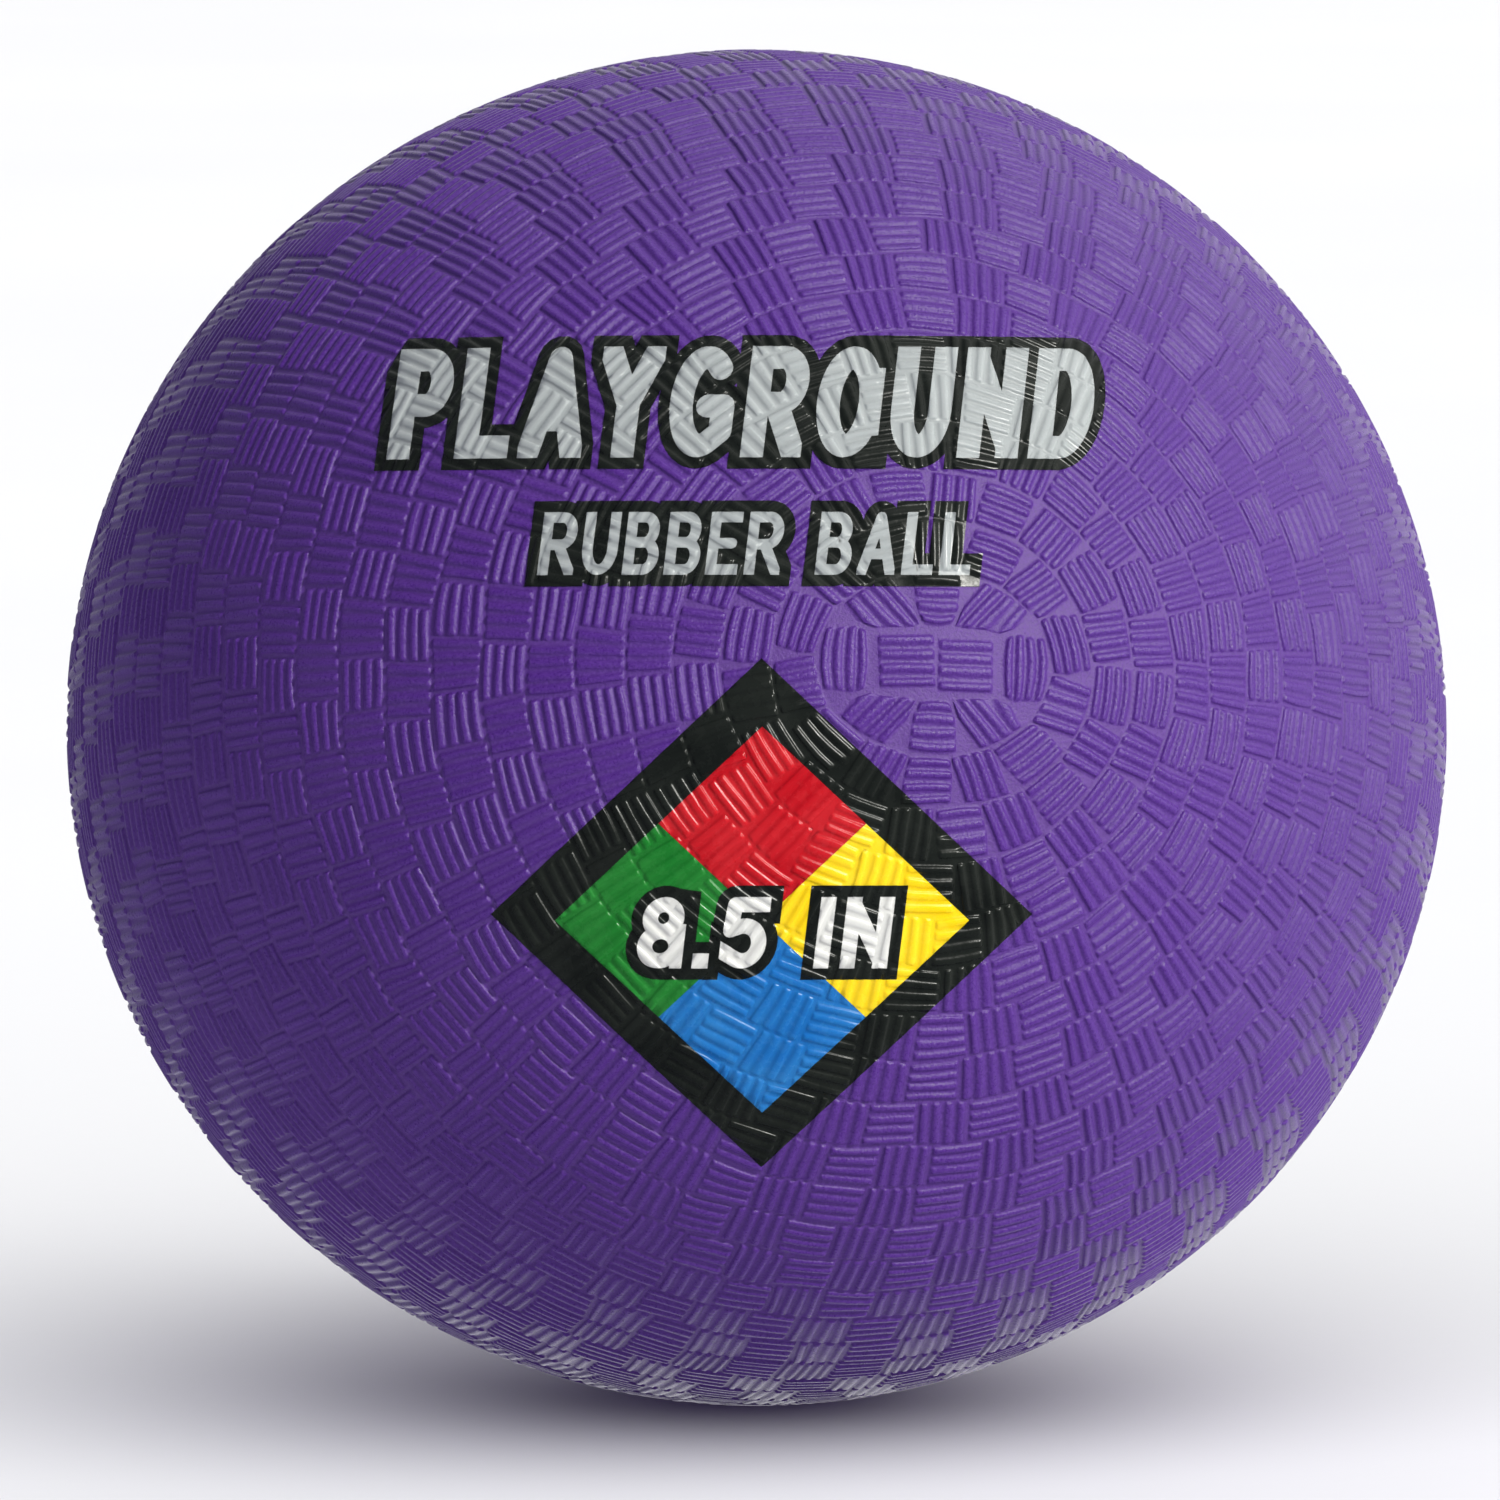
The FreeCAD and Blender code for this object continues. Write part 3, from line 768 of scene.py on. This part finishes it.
def inner_shell(name, outer_radius, wall):
    """A closed hollow ball with the neck's hole, which follows the cover's shape."""
    build = ReliefBuilder(VALVE_AXIS)
    radii = (outer_radius, outer_radius - wall)
    hole = NECK_RADIUS / outer_radius
    angles = np.linspace(hole, SHELL_END, SHELL_STEPS)
    edge = rim = build.circle(hole, (radii[0] - BASE_RADIUS) / RIB_HEIGHT, SHELL_POINTS)
    for radius, ordered in ((radii[0], angles[1:]), (radii[1], angles[::-1])):
        for angle in ordered:
            ring = build.circle(angle, (radius - BASE_RADIUS) / RIB_HEIGHT, SHELL_POINTS)
            if radius == radii[1] and angle == angles[-1]:
                inside_cap = ring
            else:
                build.zip(edge, ring)
            edge = ring
        if radius == radii[0]:
            outside_cap = edge
    build.zip(edge, rim)
    for (loop, _), radius, flip in ((outside_cap, radii[0], 1), (inside_cap, radii[1], -1)):
        pole = build.add(np.array([[0.0, 0.0, -1.0]]), (radius - BASE_RADIUS) / RIB_HEIGHT)[0]
        build.faces.append(np.array([(a, pole, b) for a, b in zip(loop, loop[1:] + loop[:1])])[:, ::flip])
    directions, heights, faces = build.arrays()
    points = directions * ((BASE_RADIUS + heights * RIB_HEIGHT) * swell(directions))[:, None]
    return mesh_object(name, points, faces)


# ---------------- materials

def srgb(red, green, blue):
    """A linear colour from 0-255 screen values."""
    parts = (value / 255 for value in (red, green, blue))
    return tuple(p / 12.92 if p < 0.04045 else ((p + 0.055) / 1.055) ** 2.4 for p in parts) + (1.0,)


def times(factor, colour):
    """A colour made lighter or darker by a factor."""
    return tuple(factor * c for c in colour[:3]) + (1.0,)


class Finish:
    """A node material under construction. Sockets passed as values are linked."""

    def __init__(self, name):
        self.material = bpy.data.materials.new(name)
        self.material.use_nodes = True
        self.tree = self.material.node_tree
        self.shader = next(n for n in self.tree.nodes if n.type == "BSDF_PRINCIPLED")
        self.place = self.node("ShaderNodeTexCoord").outputs["Object"]

    def node(self, kind, inputs=(), **properties):
        made = self.tree.nodes.new(kind)
        for key, value in properties.items():
            setattr(made, key, value)
        self.set(made, dict(inputs))
        return made

    def set(self, node, values):
        for key, value in values.items():
            if isinstance(value, bpy.types.NodeSocket):
                self.tree.links.new(value, node.inputs[key])
            else:
                node.inputs[key].default_value = value

    def shade(self, **values):
        """Sets or links the shader's inputs, named with underlines for spaces."""
        self.set(self.shader, {key.replace("_", " "): value for key, value in values.items()})

    def noise(self, size, detail=3.0, roughness=0.5):
        """Soft noise from 0 to 1 with features of a size in metres."""
        made = self.node("ShaderNodeTexNoise", {"Vector": self.place, "Scale": 1 / size, "Detail": detail,
                                                "Roughness": roughness})
        return made.outputs["Fac"]

    def between(self, factor, low, high, start=0.35, end=0.65):
        """A value from low to high as factor goes from start to end."""
        made = self.node("ShaderNodeMapRange", {"Value": factor, "From Min": start, "From Max": end,
                                                "To Min": low, "To Max": high})
        return made.outputs["Result"]

    def mix(self, factor, first, second):
        """A colour from first to second as factor goes from 0 to 1."""
        made = self.node("ShaderNodeMix", {"Factor": factor, 6: first, 7: second}, data_type="RGBA")
        return made.outputs[2]

    def maths(self, operation, *values):
        return self.node("ShaderNodeMath", dict(enumerate(values)), operation=operation).outputs[0]

    def bump(self, height, depth, strength=1.0, under=None):
        inputs = {"Height": height, "Distance": depth, "Strength": strength}
        if under is not None:
            inputs["Normal"] = under
        return self.node("ShaderNodeBump", inputs).outputs["Normal"]


def rubber(name, rib_colour, floor_bloom_and_sheen_colour):
    """Satin moulded rubber: worn smooth on the ribs, paler and duller between them, the paler colour partly
    bloom and partly painted sheen.
    """
    made = Finish(name)
    relief = made.node("ShaderNodeAttribute", attribute_name="relief").outputs["Fac"]
    rib = made.maths("ADD", made.between(relief, 0.0, 0.7, 0.0, GROOVE),
                     made.between(relief, 0.0, 0.3, GROOVE, 0.8))
    cloud = made.noise(28 * MM, 2.0)
    dust = made.noise(5 * MM, 4.0, 0.6)
    grain = made.noise(0.45 * MM, 3.0, 0.7)
    rib = made.maths("MULTIPLY", rib, made.between(dust, 0.85, 1.0))
    # paler between the ribs: partly bloom, partly painted sheen of the flat rubber
    colour = made.mix(rib, floor_bloom_and_sheen_colour, rib_colour)
    colour = made.mix(made.between(cloud, 0.0, 0.14), colour, times(1.2, floor_bloom_and_sheen_colour))
    speck = made.between(grain, 0.0, 0.36, 0.5, 0.66)
    colour = made.mix(speck, colour, times(1.5, floor_bloom_and_sheen_colour))
    pit = made.between(grain, 0.22, 0.0, 0.34, 0.5)
    colour = made.mix(pit, colour, times(0.45, rib_colour))
    rough = made.maths("ADD", made.between(rib, 0.5, 0.3, 0.0, 1.0), made.between(grain, -0.06, 0.06))
    fine = made.bump(grain, 0.15 * MM)
    made.shade(Base_Color=colour, Roughness=rough, Normal=made.bump(dust, 0.06 * MM, 0.5, fine),
               Specular_IOR_Level=0.4)
    return made.material


def ink(name, colour, worn, scatter=0.6):
    """Glossy flexible ink over the ribs, a little rubbed."""
    made = Finish(name)
    rub = made.noise(1.6 * MM, 4.0, 0.6)
    cloud = made.noise(9 * MM, 2.0)
    shade = made.mix(made.between(cloud, 0.0, 0.5), colour, worn)
    shade = made.mix(made.between(rub, 0.0, 0.35, 0.5, 0.75), shade, worn)
    made.shade(Base_Color=shade, Roughness=made.between(rub, 0.2, 0.32),
               Normal=made.bump(made.noise(0.5 * MM, 2.0), 0.03 * MM, 0.6), Specular_IOR_Level=0.2,
               Subsurface_Weight=scatter, Subsurface_Scale=0.6 * MM, Subsurface_Radius=(1, 1, 1))
    return made.material


def plain_rubber(name, colour, worn, roughness):
    """Smooth moulded rubber without ribs, a little cloudy."""
    made = Finish(name)
    cloud = made.noise(6 * MM, 3.0)
    made.shade(Base_Color=made.mix(made.between(cloud, 0.0, 1.0), colour, worn),
               Roughness=made.between(made.noise(1.2 * MM), roughness - 0.06, roughness + 0.06),
               Normal=made.bump(made.noise(0.3 * MM, 2.0), 0.015 * MM, 0.6))
    return made.material


THREAD_TURNS = (0.6, -0.9)  # the lie of the two sets of threads, in radians
WAVE_SCALE = 0.314  # of a wave texture whose waves are one unit apart


def threads(name, colour, shadow, pitch):
    """Wound thread or cloth: two crossing sets of fine ridges."""
    made = Finish(name)
    ridges = []
    for angle in THREAD_TURNS:
        turned = made.node("ShaderNodeMapping", {"Vector": made.place, "Rotation": (angle, angle / 2, angle)})
        wave = made.node("ShaderNodeTexWave", {"Vector": turned.outputs[0], "Scale": WAVE_SCALE / pitch,
                                               "Distortion": 1.5, "Detail": 1.0})
        ridges.append(wave.outputs["Fac"])
    height = made.maths("MAXIMUM", *ridges)
    made.shade(Base_Color=made.mix(height, shadow, colour), Normal=made.bump(height, 0.1 * MM),
               Roughness=made.between(made.noise(2 * MM), 0.6, 0.8))
    return made.material


PURPLE_RIB = (0.069, 0.0145, 0.213, 1.0)
# Paler purple for the rubber between the ribs: partly bloom, partly painted sheen.
PURPLE_FLOOR_BLOOM_AND_SHEEN = (0.096, 0.036, 0.229, 1.0)
cover_rubber = rubber("cover_rubber", PURPLE_RIB, PURPLE_FLOOR_BLOOM_AND_SHEEN)
black_ink = ink("black_ink", srgb(16, 20, 17), srgb(34, 38, 34), 0.0)
grey_ink = ink("grey_ink", srgb(168, 173, 174), srgb(154, 159, 160), 0.9)
FINISHES = {
    "butyl_bladder": plain_rubber("bladder_rubber", srgb(24, 24, 25), srgb(40, 40, 42), 0.55),
    "nylon_winding": threads("winding_nylon", srgb(226, 222, 210), srgb(150, 146, 134), 0.5 * MM),
    "valve_patch": threads("patch_cloth", srgb(150, 145, 136), srgb(90, 86, 80), 0.8 * MM),
    "valve_housing": plain_rubber("valve_rubber", PURPLE_RIB, PURPLE_FLOOR_BLOOM_AND_SHEEN, 0.45),
    "valve_plug": plain_rubber("plug_rubber", srgb(26, 26, 27), srgb(44, 44, 46), 0.5),
    "cover_front_half": cover_rubber,
    "cover_back_half": cover_rubber,
    "diamond_border_print": black_ink,
    "red_panel_print": ink("red_ink", srgb(180, 12, 26), srgb(200, 40, 48)),
    "yellow_panel_print": ink("yellow_ink", srgb(236, 200, 12), srgb(244, 214, 50)),
    "blue_panel_print": ink("blue_ink", srgb(22, 106, 178), srgb(50, 128, 190)),
    "green_panel_print": ink("green_ink", srgb(24, 118, 40), srgb(48, 134, 58)),
    "number_outline_print": black_ink,
    "number_print": ink("white_ink", srgb(222, 222, 218), srgb(204, 205, 203), 0.9),
    "title_outline_print": black_ink,
    "title_print": grey_ink,
    "subtitle_outline_print": black_ink,
    "subtitle_print": grey_ink,
}

# ---------------- the pieces

# Each half of the cover is in bands of rings, small enough to export.
BANDS = [range(0, 9), range(9, 13), range(13, 16), range(16, 19), range(19, 21)]
FLASH = 0.5  # height in ribs of the raised line where the halves meet
SHELL_GAP = 0.05 * MM  # between the cover and the winding
WINDING_THINNER = 0.1 * MM  # so that it clears the bladder

pieces = {}
for half in ("front", "back"):
    node = f"cover_{half}_half"
    pieces[node] = [
        cover_band(f"{node}_rings_{rings[0]}_to_{rings[-1]}", half, rings, flash=FLASH * (rings is BANDS[-1]))
        for rings in BANDS
    ]
winding_radius = BALL_RADIUS - COVER_WALL - SHELL_GAP
pieces["nylon_winding"] = [inner_shell("nylon_winding_shell", winding_radius, WINDING_WALL - WINDING_THINNER)]
pieces["butyl_bladder"] = [inner_shell("butyl_bladder_shell", winding_radius - WINDING_WALL, BLADDER_WALL)]
for node, piece in print_films().items():
    pieces[node] = [piece]

for node, finish in FINISHES.items():
    if node not in pieces:
        for material_slot in frame["nodes"][node].material_slots:
            material_slot.material = finish
        continue
    for piece in pieces[node]:
        piece.data.materials.clear()
        piece.data.materials.append(finish)
        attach(piece, "root")
        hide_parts(node)

# ---------------- the floor, the lights and the camera

FLOOR_RADIUS = 14.0
FLOOR_TONE = 0.72
WORLD_FRONT, WORLD_BACK = (0.22, 0.225, 0.28, 1), (0.95, 0.95, 0.95, 1)
WORLD_BRIGHT_SIDE = (0.75, 0.55, 0.36)
WORLD_FADE = (-0.1, 0.7)  # along the direction of the bright side
LAMP_DISTANCE = 3.0

# Far enough off to look almost flat on, like the photograph.
CAMERA_DISTANCE = 2.16
VIEW_WIDTH = 0.2369  # of what the picture takes in, at the ball's centre
SENSOR_WIDTH = 36.0  # millimetres, as the lens's length
CAMERA_LEFT, CAMERA_DOWN = 1.03, 3.55  # millimetres, as the ball isn't quite in the middle


def lowest_point(meshes, every=7):
    """The lowest height among every few points of some fine meshes, which is near enough."""
    return min(point.co.z for piece in meshes for point in list(piece.data.vertices)[::every])


def floor(radius, height):
    """A round pale floor under the ball."""
    bm = bmesh.new()
    place = Matrix.Translation((0, 0, height))
    bmesh.ops.create_circle(bm, cap_ends=True, segments=128, radius=radius, matrix=place)
    mesh = bpy.data.meshes.new("floor")
    bm.to_mesh(mesh)
    bm.free()
    piece = bpy.data.objects.new("floor", mesh)
    bpy.context.scene.collection.objects.link(piece)
    made = Finish("floor_paint")
    tone = made.between(made.noise(0.4, 2.0), 0.0, 1.0)
    made.shade(Base_Color=made.mix(tone, (*[FLOOR_TONE] * 3, 1), (*[FLOOR_TONE * 1.02] * 3, 1)),
               Roughness=made.between(made.noise(3 * MM), 0.8, 0.9), Specular_IOR_Level=0.1)
    mesh.materials.append(made.material)
    piece.visible_glossy = False
    piece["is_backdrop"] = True
    return piece


def sun(name, direction, colour, strength, width, receivers, own_shadows_only=False):
    """A soft distant lamp for some objects. Its direction is (right, up, towards the camera) by the print."""
    lamp = bpy.data.lights.new(name, "SUN")
    lamp.color, lamp.energy, lamp.angle = colour, strength, math.radians(width)
    piece = bpy.data.objects.new(name, lamp)
    lit = bpy.data.collections.new(f"{name}_receivers")
    for receiver in receivers:
        lit.objects.link(receiver)
    piece.light_linking.receiver_collection = lit
    if own_shadows_only:
        piece.light_linking.blocker_collection = lit
    away = Vector(np.array(direction) @ np.array([PRINT_RIGHT, PRINT_UP, PRINT_OUT])).normalized()
    piece.location = away * LAMP_DISTANCE
    piece.rotation_mode = "QUATERNION"
    piece.rotation_quaternion = away.to_track_quat("Z", "Y")
    bpy.context.scene.collection.objects.link(piece)


def studio_world():
    """Surroundings that fade from a dim, bluish side to a bright one."""
    world = bpy.data.worlds.new("studio")
    world.use_nodes = True
    nodes, links = world.node_tree.nodes, world.node_tree.links
    background = next(n for n in nodes if n.type == "BACKGROUND")
    background.inputs["Strength"].default_value = 1.0
    coordinates = nodes.new("ShaderNodeTexCoord")
    toward = nodes.new("ShaderNodeVectorMath")
    toward.operation = "DOT_PRODUCT"
    toward.inputs[1].default_value = WORLD_BRIGHT_SIDE
    fade = nodes.new("ShaderNodeMapRange")
    fade.interpolation_type = "SMOOTHSTEP"
    fade.inputs["From Min"].default_value, fade.inputs["From Max"].default_value = WORLD_FADE
    tint = nodes.new("ShaderNodeMix")
    tint.data_type = "RGBA"
    tint.inputs[6].default_value, tint.inputs[7].default_value = WORLD_FRONT, WORLD_BACK
    links.new(coordinates.outputs["Generated"], toward.inputs[0])
    links.new(toward.outputs["Value"], fade.inputs["Value"])
    links.new(fade.outputs["Result"], tint.inputs["Factor"])
    links.new(tint.outputs[2], background.inputs["Color"])
    return world


def photo_camera():
    """The camera, where the photograph's was."""
    lens = bpy.data.cameras.new("camera")
    lens.sensor_width, lens.lens = SENSOR_WIDTH, SENSOR_WIDTH * CAMERA_DISTANCE / VIEW_WIDTH
    lens.clip_start, lens.clip_end = 0.1, 60.0
    camera = bpy.data.objects.new("camera", lens)
    camera.location = Vector(PRINT_OUT * CAMERA_DISTANCE - PRINT_RIGHT * CAMERA_LEFT * MM
                             - PRINT_UP * CAMERA_DOWN * MM)
    camera.rotation_mode = "QUATERNION"
    camera.rotation_quaternion = Vector(PRINT_OUT).to_track_quat("Z", "Y")
    bpy.context.scene.collection.objects.link(camera)
    return camera


lowest = lowest_point(pieces["cover_front_half"] + pieces["cover_back_half"])
ground = floor(FLOOR_RADIUS, lowest - 0.02 * MM)
sun("key", (0.62, 0.42, 0.66), (1.0, 0.99, 0.93), 3.35, 11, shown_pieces())
sun("glow_from_below", (0.0, -0.55, -0.83), (1, 1, 1), 0.33, 40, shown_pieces(), own_shadows_only=True)
sun("floor_light", (0.15, 0.5, 0.85), (1, 1, 1), 4.2, 100, [ground])
bpy.context.scene.world = studio_world()
bpy.context.scene.view_settings.view_transform = "Standard"
bpy.context.scene.camera = photo_camera()
